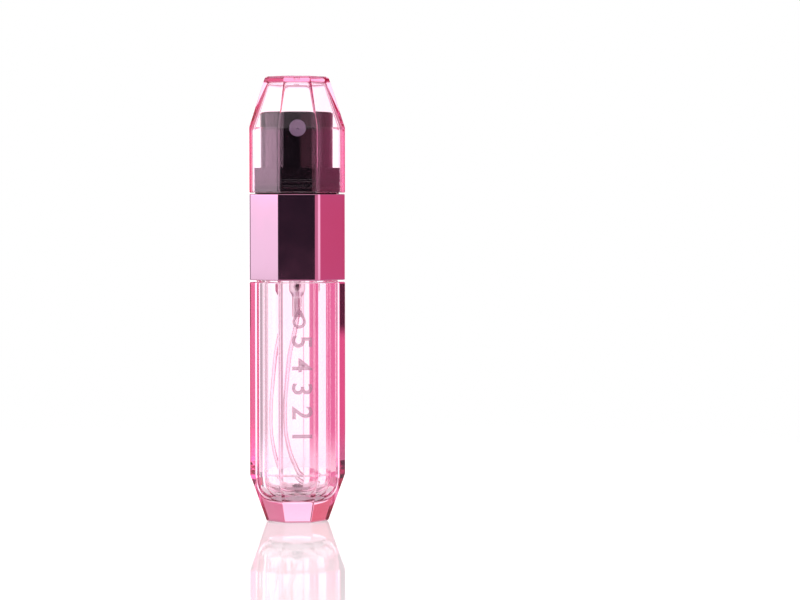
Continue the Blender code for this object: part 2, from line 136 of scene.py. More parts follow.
def round_section(radius, z, count=RING_POINTS):
    """Ring of points round a circle."""
    angles = [2 * math.pi * index / count for index in range(count)]
    return [(radius * math.cos(a), radius * math.sin(a), z) for a in angles]


def loft(name, rings, body, material, closed=False, top=None, bottom=None):
    """A closed body from stacked rings. top and bottom are the heights of pole points."""
    shape = bmesh.new()
    loops = [[shape.verts.new(Vector(point) * MM) for point in ring] for ring in rings]
    pairs = list(zip(loops, loops[1:]))
    if closed:
        pairs.append((loops[-1], loops[0]))
    for upper, lower in pairs:
        for index, vert in enumerate(upper):
            after = (index + 1) % len(upper)
            shape.faces.new((vert, lower[index], lower[after], upper[after]))
    if top is not None:
        pole = shape.verts.new((0, 0, top * MM))
        for index, vert in enumerate(loops[0]):
            shape.faces.new((pole, vert, loops[0][(index + 1) % len(loops[0])]))
    if bottom is not None:
        pole = shape.verts.new((0, 0, bottom * MM))
        for index, vert in enumerate(loops[-1]):
            shape.faces.new((pole, loops[-1][(index + 1) % len(loops[-1])], vert))
    bmesh.ops.recalc_face_normals(shape, faces=shape.faces[:])
    mesh = bpy.data.meshes.new(name)
    shape.to_mesh(mesh)
    shape.free()
    mesh.shade_smooth()
    return place(name, mesh, body, material)


def place(name, mesh, body, material):
    """Link a mesh, give it its material and let it ride on a body."""
    piece = bpy.data.objects.new(name, mesh)
    bpy.context.scene.collection.objects.link(piece)
    mesh.materials.clear()
    mesh.materials.append(material)
    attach(piece, body)
    return piece


def turned(name, profile, body, material, closed=False, count=96):
    """Turn an (x, z) profile; one that starts and ends on the axis gets pole points."""
    if closed:
        rings = [round_section(x, z, count) for x, z in profile]
        return loft(name, rings, body, material, closed=True)
    rings = [round_section(x, z, count) for x, z in profile[1:-1]]
    return loft(name, rings, body, material, top=profile[0][1], bottom=profile[-1][1])


def octagon_levels(profile, corner, widest):
    """Octagonal rings along a (half width, z) profile; corners shrink with the width."""
    return [octagon_section(half, corner * half / widest, z) for half, z in profile]


def straight_steps(start, end, count):
    """Points between two profile points, both ends left out."""
    return [(start[0] + (end[0] - start[0]) * i / count, start[1] + (end[1] - start[1]) * i / count)
            for i in range(1, count)]


# Materials

def base_material(name):
    """A new material and its Principled shader."""
    material = bpy.data.materials.new(name)
    material.use_nodes = True
    return material, material.node_tree.nodes["Principled BSDF"]


def add_node(material, kind, **inputs):
    """A new node with the values of some of its inputs."""
    node = material.node_tree.nodes.new(kind)
    for key, value in inputs.items():
        node.inputs[key.replace("_", " ")].default_value = value
    return node


def add_noise(material, scale, detail=3.0):
    """Noise in object space, in waves per metre."""
    noise = add_node(material, "ShaderNodeTexNoise", Scale=scale, Detail=detail)
    coords = add_node(material, "ShaderNodeTexCoord")
    material.node_tree.links.new(coords.outputs["Object"], noise.inputs["Vector"])
    return noise


def vary(material, noise, low, high, target):
    """Let noise move an input between two values."""
    spread = add_node(material, "ShaderNodeMapRange", From_Min=0.3, From_Max=0.7,
                      To_Min=low, To_Max=high)
    material.node_tree.links.new(noise.outputs["Fac"], spread.inputs["Value"])
    material.node_tree.links.new(spread.outputs["Result"], target)


def add_bump(material, shader, noise, strength, distance):
    """Fine relief from noise."""
    bump = add_node(material, "ShaderNodeBump", Strength=strength, Distance=distance)
    material.node_tree.links.new(noise.outputs["Fac"], bump.inputs["Height"])
    material.node_tree.links.new(bump.outputs["Normal"], shader.inputs["Normal"])


def clear_plastic(name, surface, depth_color, density, roughness=0.0, ior=1.5):
    """Clear moulded plastic whose colour deepens with thickness."""
    material, shader = base_material(name)
    shader.inputs["Base Color"].default_value = (*surface, 1)
    shader.inputs["Transmission Weight"].default_value = 1.0
    shader.inputs["IOR"].default_value = ior
    noise = add_noise(material, 60.0, 2.0)
    vary(material, noise, roughness, roughness + 0.015, shader.inputs["Roughness"])
    depth = add_node(material, "ShaderNodeVolumeAbsorption", Density=density)
    depth.inputs["Color"].default_value = (*depth_color, 1)
    output = material.node_tree.nodes["Material Output"]
    material.node_tree.links.new(depth.outputs["Volume"], output.inputs["Volume"])
    return material


def solid_plastic(name, color, roughness, grain=0.0):
    """Opaque moulded plastic with faint unevenness in its gloss."""
    material, shader = base_material(name)
    shader.inputs["Base Color"].default_value = (*color, 1)
    shader.inputs["IOR"].default_value = 1.5
    noise = add_noise(material, 900.0)
    vary(material, noise, roughness * 0.8, roughness * 1.25, shader.inputs["Roughness"])
    if grain > 0:
        add_bump(material, shader, noise, 0.3, grain * MM)
    return material


def milky_plastic(name, color, transmission, roughness, ior=1.45):
    """Natural translucent plastic, as of pumps and dip tubes."""
    material, shader = base_material(name)
    shader.inputs["Base Color"].default_value = (*color, 1)
    shader.inputs["Transmission Weight"].default_value = transmission
    shader.inputs["IOR"].default_value = ior
    noise = add_noise(material, 500.0)
    vary(material, noise, roughness * 0.8, roughness * 1.3, shader.inputs["Roughness"])
    return material


def metal(name, color, roughness, waviness=0.0, anisotropic=0.0):
    """Bright metal with faint drawing marks."""
    material, shader = base_material(name)
    shader.inputs["Base Color"].default_value = (*color, 1)
    shader.inputs["Metallic"].default_value = 1.0
    shader.inputs["Anisotropic"].default_value = anisotropic
    noise = add_noise(material, 250.0)
    vary(material, noise, roughness * 0.85, roughness * 1.2, shader.inputs["Roughness"])
    if waviness > 0:
        add_bump(material, shader, noise, 0.1, waviness * MM)
    return material


SHELL_PINK = clear_plastic("shell_clear_pink", (1.0, 0.996, 0.998), (0.88, 0.0, 0.42), 38)
VIAL_PINK = clear_plastic("vial_clear_pink", (1.0, 0.996, 0.998), (0.88, 0.0, 0.42), 38, ior=1.48)
CAP_PINK = clear_plastic("cap_clear_pink", (1.0, 0.998, 0.999), (0.90, 0.0, 0.44), 78)
BAND_METAL = metal("band_pink_metal", (0.60, 0.36, 0.49), 0.07, waviness=0.01)
BUTTON_BLACK = solid_plastic("button_black_gloss", (0.010, 0.009, 0.011), 0.06)
COLLAR_BLACK = solid_plastic("collar_black", (0.012, 0.010, 0.013), 0.16, grain=0.004)
NOZZLE_VIOLET = solid_plastic("nozzle_grey_violet", (0.46, 0.46, 0.60), 0.30, grain=0.004)
PUMP_CLEAR = milky_plastic("pump_translucent", (0.99, 0.94, 0.965), 0.9, 0.32, ior=1.15)
TUBE_CLEAR = milky_plastic("tube_translucent", (0.99, 0.96, 0.98), 0.98, 0.04)
SEAL_CLEAR = milky_plastic("seal_silicone", (0.95, 0.88, 0.92), 0.7, 0.35)
PIN_CLEAR = milky_plastic("pin_translucent", (0.95, 0.88, 0.92), 0.8, 0.2)
INNER_WHITE = solid_plastic("inner_white", (0.80, 0.80, 0.81), 0.35, grain=0.004)
CORE_BLACK = solid_plastic("core_black", (0.02, 0.02, 0.02), 0.40, grain=0.006)
RING_RUBBER = solid_plastic("ring_rubber", (0.03, 0.03, 0.03), 0.65, grain=0.01)
SPRING_STEEL = metal("spring_steel", (0.62, 0.62, 0.60), 0.25, anisotropic=0.4)
FERRULE_METAL = metal("ferrule_metal", (0.80, 0.80, 0.82), 0.25, anisotropic=0.3)
PRINT_INK = solid_plastic("print_grey_pink", (0.66, 0.42, 0.54), 0.45, grain=0.002)
PRINT_INK.node_tree.nodes["Principled BSDF"].inputs["Alpha"].default_value = 0.45


# Shell

HALF = half_width("outer_shell")
BAND_LOW, BAND_TOP = span("band")
SHELL_TOP = BAND_LOW - 0.4
SPIGOT_TOP = span("outer_shell")[1]
SPIGOT_HALF = 9.3
BASE_HALF = 7.1
TAPER_TOP = 11.1
BORE_R = 7.75
BORE_FLOOR = 5.2
BORE_CORNER = 4.3
GROOVE_LOW = 57.6
GROOVE_TOP = 59.2
GROOVE_HALF = 8.75


def build_shell():
    """Octagonal shell: outside rings up from the dimple, inside rings down the bore."""
    dimple = [(0.8, 0.8), (1.2, 0.7), (1.45, 0.36), (1.6, 0.30), (4.55, 0.30), (4.75, 0.25),
              (4.88, 0.06), (5.0, 0.0), (5.2, 0.0)]
    base = soften([(5.7, 0.0), (BASE_HALF, 0.0), (HALF, TAPER_TOP), (HALF, SHELL_TOP),
                   (SPIGOT_HALF, SHELL_TOP)], [1.1, 0.5, 0.35])
    spigot = soften([(SPIGOT_HALF, SHELL_TOP + 0.1), (SPIGOT_HALF, GROOVE_LOW),
                     (GROOVE_HALF, GROOVE_LOW), (GROOVE_HALF, GROOVE_TOP), (SPIGOT_HALF, GROOVE_TOP),
                     (SPIGOT_HALF, SPIGOT_TOP), (SPIGOT_HALF - 0.7, SPIGOT_TOP)],
                    [0.1, 0.1, 0.1, 0.1, 0.3])
    rings = [round_section(x, z) for x, z in dimple]
    rings += octagon_levels(base + spigot, 0.3, HALF)
    bore = soften([(BORE_R + 0.2, SPIGOT_TOP), (BORE_R, SPIGOT_TOP), (BORE_R, 40)], [0.15])
    bore += straight_steps((BORE_R, 40), (BORE_R, BORE_FLOOR + BORE_CORNER), 4)
    bore += arc(BORE_R - BORE_CORNER, BORE_FLOOR + BORE_CORNER, BORE_CORNER, 0, -90)
    bore += [(2.2, BORE_FLOOR - 0.1), (1.0, BORE_FLOOR - 0.17)]
    rings += [round_section(x, z) for x, z in bore]
    shell = loft("shell_body", rings, "shell", SHELL_PINK, top=0.82, bottom=BORE_FLOOR - 0.2)
    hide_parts("outer_shell")


def build_grip_ring():
    """Rounded elastomer ring in the spigot's groove."""
    low, high = span("grip_ring")
    outer = half_width("grip_ring")
    inner = GROOVE_HALF + 0.12
    middle = (low + high) / 2
    profile = soften([(inner, middle), (inner, high), (outer, high), (outer, low), (inner, low),
                      (inner, middle)], [0.2, 0.3, 0.3, 0.2], steps=4)
    ring = loft("grip_ring_fine", octagon_levels(profile[:-1], 0.5, outer), "shell", RING_RUBBER,
                closed=True)
    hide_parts("grip_ring")


# Vial and fill valve

VIAL_R = half_width("inner_vial")
VIAL_LOW, NECK_TOP = span("inner_vial")
VIAL_WALL = 0.9
VIAL_FLOOR = VIAL_LOW + 1.3
VIAL_CORNER = 4.0
NECK_R = 5.0
NECK_BORE = 3.1


def build_vial():
    """Round-bottomed vial with a beaded neck and a hole in its floor."""
    inner = VIAL_R - VIAL_WALL
    inner_corner = VIAL_CORNER - 0.7
    neck = soften([(NECK_BORE + 0.3, NECK_TOP), (NECK_R, NECK_TOP), (NECK_R, NECK_TOP - 1.8),
                   (NECK_R + 0.4, NECK_TOP - 2.0), (NECK_R + 0.4, NECK_TOP - 2.6),
                   (NECK_R, NECK_TOP - 2.8), (NECK_R, 61.5), (VIAL_R, 60.0), (VIAL_R, 40)],
                  [0.15, 0.1, 0.1, 0.1, 0.1, 0.5, 0.8])
    outside = neck + straight_steps((VIAL_R, 40), (VIAL_R, VIAL_LOW + VIAL_CORNER), 3)
    outside += arc(VIAL_R - VIAL_CORNER, VIAL_LOW + VIAL_CORNER, VIAL_CORNER, 0, -90)
    hole = soften([(2.4, VIAL_LOW), (1.45, VIAL_LOW), (1.45, VIAL_FLOOR), (2.4, VIAL_FLOOR)],
                  [0.15, 0.15])
    inside = arc(inner - inner_corner, VIAL_FLOOR + inner_corner, inner_corner, -90, 0)
    inside += straight_steps((inner, VIAL_FLOOR + inner_corner), (inner, 55), 4)
    shoulder = soften([(inner, 55), (inner, 59.2), (NECK_BORE, 60.7), (NECK_BORE, NECK_TOP),
                       (NECK_BORE + 0.3, NECK_TOP)], [0.6, 0.5, 0.15])
    profile = outside + hole + inside + shoulder[:-1]
    vial = turned("vial_body", profile, "sprayer", VIAL_PINK, closed=True, count=128)
    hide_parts("inner_vial")


def build_fill_valve():
    """Silicone grommet in the floor of the vial, and its pin."""
    low, high = span("fill_seal")
    flange = half_width("fill_seal")
    profile = soften([(0.6, high - 0.3), (0.6, high), (flange, high), (flange, VIAL_FLOOR + 0.12),
                      (1.32, VIAL_FLOOR + 0.12), (1.32, VIAL_LOW - 0.12), (flange, VIAL_LOW - 0.12),
                      (flange, low), (0.6, low), (0.6, high - 0.3)],
                     [0.15, 0.18, 0.1, 0.05, 0.05, 0.1, 0.18, 0.15], steps=4)
    seal = turned("fill_seal_fine", profile[:-1], "sprayer", SEAL_CLEAR, closed=True, count=64)
    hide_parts("fill_seal")
    pin_low, pin_high = span("fill_poppet")
    head = half_width("fill_poppet")
    pin_profile = soften([(0, pin_high), (head, pin_high), (head, high + 0.1), (0.45, high + 0.1),
                          (0.45, pin_low), (0, pin_low)], [0.3, 0.1, 0.05, 0.15], steps=4)
    pin = turned("fill_pin_fine", pin_profile, "fill_valve", PIN_CLEAR, count=48)
    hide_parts("fill_poppet")


# Pump and dip tube

HOUSING_LOW, HOUSING_TOP = span("pump_housing")
TUBE_R = 0.8
TUBE_WALL = 0.3


def build_pump_housing():
    """Translucent pump cylinder with its cone and stepped tube socket."""
    cone_top = HOUSING_LOW + 6.1
    cone_low = HOUSING_LOW + 4.7
    step = cone_low - 0.4
    profile = soften([(2.05, 62.0), (2.05, HOUSING_TOP), (4.9, HOUSING_TOP), (4.9, HOUSING_TOP - 1.0),
                      (2.75, HOUSING_TOP - 1.0), (2.75, cone_top), (1.7, cone_low),
                      (1.7, HOUSING_LOW), (TUBE_R + 0.12, HOUSING_LOW), (TUBE_R + 0.12, step),
                      (0.5, step), (0.5, cone_top), (1.1, cone_top + 0.8), (1.1, 55.9),
                      (2.05, 55.9), (2.05, 62.0)],
                     [0.1, 0.2, 0.2, 0.15, 0.35, 0.3, 0.2, 0.1, 0.05, 0.05, 0.1, 0.1, 0.05, 0.1],
                     steps=4)
    housing = turned("pump_housing_fine", profile[:-1], "sprayer", PUMP_CLEAR, closed=True, count=64)
    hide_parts("pump_housing")


def smooth_route(points, steps):
    """Points along a Catmull-Rom curve through the given points."""
    padded = [points[0] * 2 - points[1], *points, points[-1] * 2 - points[-2]]
    route = []
    for before, start, end, after in zip(padded, padded[1:], padded[2:], padded[3:]):
        for index in range(steps):
            t = index / steps
            bend = (before * 2 - start * 5 + end * 4 - after) * t ** 2
            twist = (start * 3 - before - end * 3 + after) * t ** 3
            route.append((start * 2 + (end - before) * t + bend + twist) / 2)
    route.append(points[-1])
    return route


def build_dip_tube():
    """Hollow tube along its bowed route, cut square at both ends."""
    route = [Vector((0.0, 0.0, 51.4)), Vector((0.0, 0.0, 49.4)), Vector((0.0, 0.0, 47.2)),
             Vector((-0.9, 0.0, 43.9)), Vector((-2.5, 0.1, 39.2)), Vector((-3.2, 0.2, 35.9)),
             Vector((-4.0, 0.3, 31.1)), Vector((-4.6, 0.6, 27.0)), Vector((-4.6, 1.2, 21.3)),
             Vector((-3.9, 1.9, 18.0)), Vector((-2.4, 2.6, 14.5)), Vector((-0.9, 3.1, 12.4)),
             Vector((0.5, 3.3, 10.6)), Vector((2.4, 3.0, 9.5))]
    points = smooth_route(route, 8)
    sides = 28
    outer = tube_rings(points, TUBE_R, sides)
    inner = tube_rings(points, TUBE_R - TUBE_WALL, sides)
    tube = loft("dip_tube_fine", outer + inner[::-1], "sprayer", TUBE_CLEAR, closed=True)
    mark_sharp(tube, 50)
    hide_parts("dip_tube")


def tube_rings(points, radius, sides):
    """Rings of a tube whose cross direction is carried along without twist."""
    side = Vector((0, 1, 0))
    rings = []
    for index, point in enumerate(points):
        ahead = points[min(index + 1, len(points) - 1)] - points[max(index - 1, 0)]
        ahead.normalize()
        side = (side - ahead * side.dot(ahead)).normalized()
        other = ahead.cross(side)
        ring = []
        for step in range(sides):
            angle = 2 * math.pi * step / sides
            ring.append(tuple(point + (side * math.cos(angle) + other * math.sin(angle)) * radius))
        rings.append(ring)
    return rings


def mark_sharp(piece, degrees):
    """Keep edges above an angle sharp in the shading."""
    piece.data.set_sharp_from_angle(angle=math.radians(degrees))


# Band and collar

BAND_CORNER = 2.0


def build_band():
    """Mirror-bright sleeve with rounded upright corners and rolled rims."""
    inner = HALF - 0.55
    middle = (BAND_LOW + BAND_TOP) / 2
    profile = soften([(HALF, middle), (HALF, BAND_LOW), (inner, BAND_LOW), (inner, BAND_TOP),
                      (HALF, BAND_TOP), (HALF, middle)], [0.2, 0.12, 0.12, 0.2])
    rings = [octagon_section(half, BAND_CORNER - (HALF - half), z) for half, z in profile[:-1]]
    band = loft("band_sleeve", rings, "sprayer", BAND_METAL, closed=True)
    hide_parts("band")


COLLAR_LOW, COLLAR_TOP = span("spray_collar")
COLLAR_HALF = half_width("spray_collar") - 0.1
COLLAR_STEP = BAND_TOP + 0.05
RIB_HEIGHTS = (77.3, 78.7)


def build_collar():
    """Black collar with two snap ribs and the round bore that guides the button."""
    bore = 8.2
    outside = [(COLLAR_HALF - 0.65, COLLAR_LOW), (COLLAR_HALF - 0.65, COLLAR_STEP),
               (COLLAR_HALF, COLLAR_STEP)]
    radii = [0.1, 0.1]
    for height in RIB_HEIGHTS:
        outside += [(COLLAR_HALF, height - 0.32), (COLLAR_HALF + 0.1, height - 0.15),
                    (COLLAR_HALF + 0.1, height + 0.15), (COLLAR_HALF, height + 0.32)]
        radii += [0.12, 0.1, 0.1, 0.12]
    outside += [(COLLAR_HALF, COLLAR_TOP), (8.7, COLLAR_TOP)]
    radii += [0.08, 0.4]
    rings = octagon_levels(soften(outside, radii, steps=4), 2.0, COLLAR_HALF)
    inside = soften([(8.6, COLLAR_TOP), (bore, COLLAR_TOP), (bore, 74.0), (3.0, 74.0),
                     (3.0, COLLAR_LOW), (5.0, COLLAR_LOW)], [0.25, 0.1, 0.1, 0.1], steps=4)
    rings += [round_section(x, z) for x, z in inside]
    collar = loft("collar_body", rings, "sprayer", COLLAR_BLACK, closed=True)
    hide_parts("spray_collar")


# Actuator

BUTTON_LOW, BUTTON_TOP = span("actuator_button")
BUTTON_R = half_width("actuator_button")
NOZZLE_Z = sum(span("nozzle_insert")) / 2
NOZZLE_R = half_width("nozzle_insert")
NOZZLE_FRONT = -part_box("nozzle_insert")[0].y / MM


def build_button():
    """Glossy finger button with a dished top and a recess for the spray insert."""
    ceiling = BUTTON_TOP - 6.8
    profile = soften([(0, BUTTON_TOP - 0.45), (4.0, BUTTON_TOP - 0.35), (BUTTON_R - 1.5, BUTTON_TOP),
                      (BUTTON_R, BUTTON_TOP), (BUTTON_R, BUTTON_LOW), (7.1, BUTTON_LOW),
                      (7.1, ceiling), (2.6, ceiling), (2.6, BUTTON_LOW + 1.2),
                      (1.17, BUTTON_LOW + 1.2), (1.17, 86.2), (0, 86.2)],
                     [1.5, 0.6, 0.7, 0.15, 0.15, 0.5, 0.3, 0.2, 0.1, 0.1])
    button = turned("button_body", profile, "actuator", BUTTON_BLACK, count=192)
    cutter = recess_cutter()
    boolean = button.modifiers.new("Recess", "BOOLEAN")
    boolean.object = cutter
    bpy.context.view_layer.update()
    cut_mesh = bpy.data.meshes.new_from_object(button.evaluated_get(bpy.context.evaluated_depsgraph_get()))
    button.modifiers.clear()
    button.data = cut_mesh
    bpy.data.objects.remove(cutter, do_unlink=True)
    mark_sharp(button, 35)
    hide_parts("actuator_button")


def recess_cutter():
    """Round cutter for the insert's recess in the button's front."""
    bpy.ops.mesh.primitive_cylinder_add(
        vertices=64, radius=(NOZZLE_R + 0.12) * MM, depth=3 * MM,
        location=(0, -(NOZZLE_FRONT - 0.1) * MM, NOZZLE_Z * MM), rotation=(math.pi / 2, 0, 0))
    return bpy.context.object


def build_nozzle():
    """Spray insert with a flat face and a tiny orifice, facing -Y."""
    front = NOZZLE_FRONT
    profile = soften([(0, front - 0.9), (0.2, front - 0.9), (0.2, front - 0.35), (0.42, front - 0.14),
                      (1.52, front - 0.14), (1.62, front), (NOZZLE_R, front),
                      (NOZZLE_R, front - 1.3), (0, front - 1.3)],
                     [0.02, 0.05, 0.05, 0.04, 0.05, 0.12, 0.1], steps=3)
    nozzle = turned("nozzle_face", profile, "actuator", NOZZLE_VIOLET, count=64)
    turn = Matrix.Translation((0, 0, NOZZLE_Z * MM)) @ Matrix.Rotation(math.pi / 2, 4, "X")
    nozzle.data.transform(turn)
    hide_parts("nozzle_insert")


# Cap

CAP_LOW, CAP_TOP = span("cap")
CAP_SHOULDER = 90.95
CAP_TOP_HALF = 7.25
CAP_INNER_HALF = 9.9
CAP_INNER_SHOULDER = 90.5
CAP_CEILING = CAP_TOP - 1.6
CAP_CEILING_HALF = 6.0


def build_cap():
    """Clear cap: outside rings down from the top, inside rings up to the ceiling."""
    outside = soften([(2.5, CAP_TOP), (CAP_TOP_HALF, CAP_TOP), (HALF, CAP_SHOULDER), (HALF, CAP_LOW),
                      (CAP_INNER_HALF + 0.3, CAP_LOW)], [1.1, 0.5, 0.25])
    rings = [round_section(0.45, CAP_TOP), round_section(1.2, CAP_TOP)]
    rings += octagon_levels(outside, 0.32, HALF)
    inside = soften([(CAP_INNER_HALF + 0.25, CAP_LOW), (CAP_INNER_HALF, CAP_LOW + 0.25),
                     (CAP_INNER_HALF, CAP_INNER_SHOULDER), (CAP_CEILING_HALF, CAP_CEILING),
                     (2.5, CAP_CEILING)], [0.15, 1.2, 1.0])
    rings += octagon_levels(inside, 2.3, CAP_INNER_HALF)
    gate = soften([(1.4, CAP_CEILING), (0.75, CAP_CEILING), (0.6, CAP_CEILING - 0.3),
                   (0.3, CAP_CEILING - 0.3)], [0.1, 0.1], steps=3)
    rings += [round_section(x, z) for x, z in gate]
    cap = loft("cap_body", rings, "cap", CAP_PINK, top=CAP_TOP, bottom=CAP_CEILING - 0.3)
    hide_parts("cap")


# Print: a plain drop outline and a generic fill scale whose numerals run down the front face

PRINT_LOW = 15.0
PRINT_STEP = 5.4
PRINT_STEPS = 5
PRINT_LIFT = 0.03
NUMERAL_SIZE = 6.4
NUMERAL_X = 0.6
NUMERAL_BOLDNESS = 0.11
DROP_POINTS = 48
DROP_X = 0.2
DROP_OUTER = 1.55
DROP_INNER = 0.85
DROP_GAP = 4.6               # from the top numeral's middle to the drop's


def build_print_scale():
    """A numeral for each step up the front face."""
    for number in range(1, PRINT_STEPS + 1):
        build_numeral(str(number), PRINT_LOW + PRINT_STEP * number)


def build_print_drop():
    """Outline of a drop above the scale."""
    shape = bmesh.new()
    loops = []
    for half_size in (DROP_OUTER, DROP_INNER):
        for face_y in (HALF + PRINT_LIFT / 2, HALF + PRINT_LIFT * 1.5):
            loops.append([shape.verts.new(point) for point in drop_points(half_size, face_y)])
    count = len(loops[0])
    for first, second in ((0, 1), (1, 3), (3, 2), (2, 0)):
        for index in range(count):
            after = (index + 1) % count
            shape.faces.new((loops[first][index], loops[first][after], loops[second][after],
                             loops[second][index]))
    bmesh.ops.recalc_face_normals(shape, faces=shape.faces[:])
    mesh = bpy.data.meshes.new("drop_outline")
    shape.to_mesh(mesh)
    shape.free()
    drop = place("drop_outline", mesh, "shell", PRINT_INK)


def drop_points(half_size, face_y):
    """Points round a drop with its tip up, in metres."""
    center_z = PRINT_LOW + PRINT_STEP * PRINT_STEPS + DROP_GAP
    points = []
    for index in range(DROP_POINTS):
        angle = 2 * math.pi * index / DROP_POINTS
        lift = 0.9 * max(0.0, math.cos(angle)) ** 5
        points.append(Vector((half_size * math.sin(angle) + DROP_X, -face_y,
                              center_z + half_size * (math.cos(angle) + lift))) * MM)
    return points


def build_numeral(text, z):
    """One numeral of the scale, turned to run down the face, as a thin mesh."""
    curve = bpy.data.curves.new("numeral_" + text, "FONT")
    curve.body = text
    curve.size = NUMERAL_SIZE * MM
    curve.offset = NUMERAL_BOLDNESS * MM
    curve.extrude = PRINT_LIFT / 2 * MM
    curve.align_x = "CENTER"
    curve.align_y = "CENTER"
    guide = bpy.data.objects.new("numeral_guide", curve)
    bpy.context.scene.collection.objects.link(guide)
    bpy.context.view_layer.update()
    mesh = bpy.data.meshes.new_from_object(guide.evaluated_get(bpy.context.evaluated_depsgraph_get()))
    bpy.data.objects.remove(guide, do_unlink=True)
    mesh.name = "numeral_" + text
    place_at = Vector((NUMERAL_X, -(HALF + PRINT_LIFT), z)) * MM
    down_the_face = Matrix.Rotation(math.pi / 2, 4, "X") @ Matrix.Rotation(-math.pi / 2, 4, "Z")
    mesh.transform(Matrix.Translation(place_at) @ down_the_face)
    numeral = place("numeral_" + text, mesh, "shell", PRINT_INK)


# Hidden CAD nodes keep their shape and get their materials

def dress_hidden_nodes():
    """Materials for the nodes that are carried over from the CAD model."""
    looks = {"inlet_ball": SPRING_STEEL, "pump_spring": SPRING_STEEL, "pump_piston": INNER_WHITE,
             "stem_seal": SEAL_CLEAR, "pump_stem": INNER_WHITE, "pump_turret": INNER_WHITE,
             "neck_gasket": SEAL_CLEAR, "neck_ferrule": FERRULE_METAL, "band_carrier": CORE_BLACK}
    for name, material in looks.items():
        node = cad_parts[name]
        node.data.materials.clear()
        node.data.materials.append(material)
        node.data.shade_smooth()
        node.data.set_sharp_from_angle(angle=math.radians(30))


# Stage, light and camera

# Light by bearing in degrees from +Y (negative to the left) in layers from the ground up; a
# layer blends in between the two sines of height above the horizon that LAYERS gives it
BRIGHTNESS = 3.2
DARK_FRONT = (0.030, 0.022, 0.033)
TABLE = [(-180, DARK_FRONT), (-135, DARK_FRONT), (-128, (1.1, 1.1, 1.1)), (-66, (1.1, 1.1, 1.1)),
         (-62, (0.50, 0.48, 0.50)), (-34, (0.50, 0.48, 0.50)), (-29, (1.65, 1.65, 1.65)),
         (19, (1.65, 1.65, 1.65)), (22, (0.85, 0.19, 0.40)), (95, (0.85, 0.19, 0.40)),
         (100, (1.2, 0.6, 0.8)), (150, (1.0, 0.42, 0.6)), (170, (1.0, 0.42, 0.6)),
         (174, DARK_FRONT), (180, DARK_FRONT)]
ROSY_FRONT = (0.85, 0.42, 0.58)
GROUND = [(-180, ROSY_FRONT), (-135, ROSY_FRONT)] + TABLE[2:-2] + [(180, ROSY_FRONT)]
SWEEP = [(-180, DARK_FRONT), (-132, DARK_FRONT), (-128, (1.52, 1.55, 1.58)),
         (-66, (1.52, 1.55, 1.58)), (-60, (0.40, 0.38, 0.40)), (-34, (0.40, 0.38, 0.40)),
         (-29, (1.6, 1.6, 1.6)), (19, (1.6, 1.6, 1.6)), (22, (0.85, 0.14, 0.30)),
         (86, (0.85, 0.14, 0.30)), (94, (1.06, 0.26, 0.46)), (98, (1.6, 1.15, 1.3)),
         (128, (1.6, 1.15, 1.3)), (134, (0.9, 0.34, 0.5)), (168, (0.9, 0.34, 0.5)),
         (173, DARK_FRONT), (180, DARK_FRONT)]
SKY = [(-180, DARK_FRONT), (-132, DARK_FRONT), (-128, (2.8, 1.9, 2.45)), (-66, (2.8, 1.9, 2.45)),
       (-60, (0.40, 0.38, 0.40)), (-34, (0.40, 0.38, 0.40)), (-29, (1.5, 1.5, 1.5)),
       (19, (1.5, 1.5, 1.5)), (22, (0.85, 0.19, 0.40)), (93, (0.85, 0.19, 0.40)),
       (99, (2.2, 0.9, 1.4)), (126, (2.2, 0.9, 1.4)), (132, (0.9, 0.34, 0.5)),
       (166, (0.9, 0.34, 0.5)), (171, DARK_FRONT), (180, DARK_FRONT)]
PRISM = [(-180, DARK_FRONT), (-132, DARK_FRONT), (-128, (2.0, 1.9, 2.0)), (-66, (2.0, 1.9, 2.0)),
         (-60, (0.40, 0.38, 0.40)), (-38, (0.92, 0.18, 0.25)), (-15, (0.92, 0.18, 0.25)),
         (-11, (1.35, 1.22, 1.35)), (15, (1.35, 1.22, 1.35)), (19, (0.88, 0.36, 0.50)),
         (90, (0.85, 0.25, 0.40)), (97, (1.3, 1.1, 1.2)), (128, (1.3, 1.1, 1.2)),
         (132, (0.12, 0.10, 0.12)), (180, (0.12, 0.10, 0.12))]
UPPER = [(-180, (0.12, 0.10, 0.12)), (-132, (0.12, 0.10, 0.12)), (-128, (1.4, 1.2, 1.3)),
         (-66, (1.4, 1.2, 1.3)), (-60, (0.45, 0.26, 0.32)), (-38, (0.80, 0.22, 0.29)),
         (-16, (0.80, 0.22, 0.29)), (-10, (0.80, 0.50, 0.60)), (4, (0.80, 0.50, 0.60)),
         (20, (0.78, 0.34, 0.44)), (50, (0.50, 0.20, 0.29)), (90, (0.50, 0.18, 0.27)),
         (97, (1.2, 1.0, 1.1)), (128, (1.2, 1.0, 1.1)), (132, (0.20, 0.16, 0.20)),
         (180, (0.20, 0.16, 0.20))]
OVERHEAD = [(-180, (1.2, 1.2, 1.2)), (180, (1.2, 1.2, 1.2))]
LAYERS = [(-0.060, -0.053, TABLE), (-0.0382, -0.0366, SWEEP), (-0.004, 0.004, SKY),
          (0.14, 0.16, PRISM), (0.28, 0.31, UPPER), (0.60, 0.80, OVERHEAD)]
FLOOR_FADE = 0.08            # metres from the middle where the floor starts to fade out
FLOOR_RADIUS = 0.24          # metres from the middle where it is gone
FLOOR_DROP = 0.00002         # gap in metres that keeps the floor off the base
MAX_BOUNCES = 200


